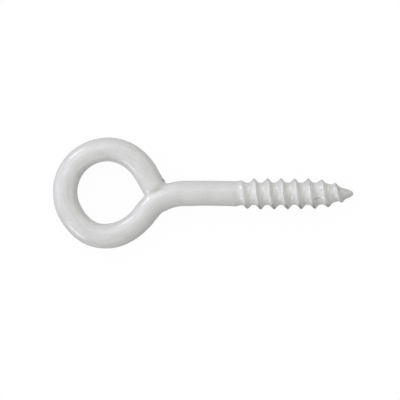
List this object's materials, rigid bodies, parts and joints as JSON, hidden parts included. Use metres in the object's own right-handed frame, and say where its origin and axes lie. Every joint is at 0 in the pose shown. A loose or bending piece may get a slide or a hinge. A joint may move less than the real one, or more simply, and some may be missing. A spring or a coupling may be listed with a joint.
{
  "type": "screw eye",
  "caption": "Closed screw eye bent from one coated steel wire, with a plain shank and a pointed right-hand wood thread, to hang or tie things from timber.",
  "frame": {"origin": "centre of the eye, in the middle of the wire's thickness", "axes": "+X along the shank from the eye to the point, +Z square to the eye's plane, as the part lies flat; the cut end of the wire is on the +Y side of the neck"},
  "size_m": [0.05, 0.0182, 0.0052],
  "materials": {
    "coated_steel": "white coat, semi-gloss, slightly uneven"
  },
  "bodies": {
    "root": {"screw_eye": "coated_steel"}
  },
  "joints": []
}
